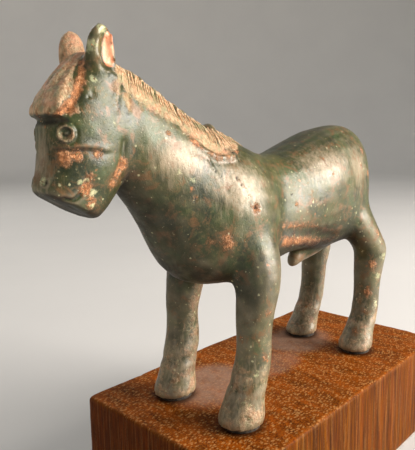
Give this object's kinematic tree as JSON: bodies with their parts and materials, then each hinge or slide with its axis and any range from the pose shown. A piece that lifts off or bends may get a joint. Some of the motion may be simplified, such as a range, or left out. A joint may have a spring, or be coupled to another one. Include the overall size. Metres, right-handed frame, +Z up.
{
  "type": "horse statuette on a block",
  "caption": "Small cast bronze standing horse with a green and brown patina, pinned by its hooves to an oblong hardwood block with a felt sheet under it.",
  "frame": {"origin": "centre of the underside of the felt sheet, below the middle of the wood block", "axes": "+Z up; the horse faces -X; its left side is -Y"},
  "size_m": [0.0996, 0.0416, 0.0924],
  "materials": {
    "bronze": "patinated, olive green and brown, soft sheen",
    "hardwood": "waxed, end grain on top",
    "felt": "pale pressed felt",
    "brass_pin": "turned",
    "washer": "dark, matt"
  },
  "bodies": {
    "root": {"horse_casting": "bronze", "wood_block": "hardwood", "felt_sheet": "felt", "mount_pin_front_left": "brass_pin", "mount_pin_front_right": "brass_pin", "mount_pin_hind_left": "brass_pin", "mount_pin_hind_right": "brass_pin", "hoof_washer_front_left": "washer", "hoof_washer_front_right": "washer", "hoof_washer_hind_left": "washer", "hoof_washer_hind_right": "washer"}
  },
  "joints": []
}
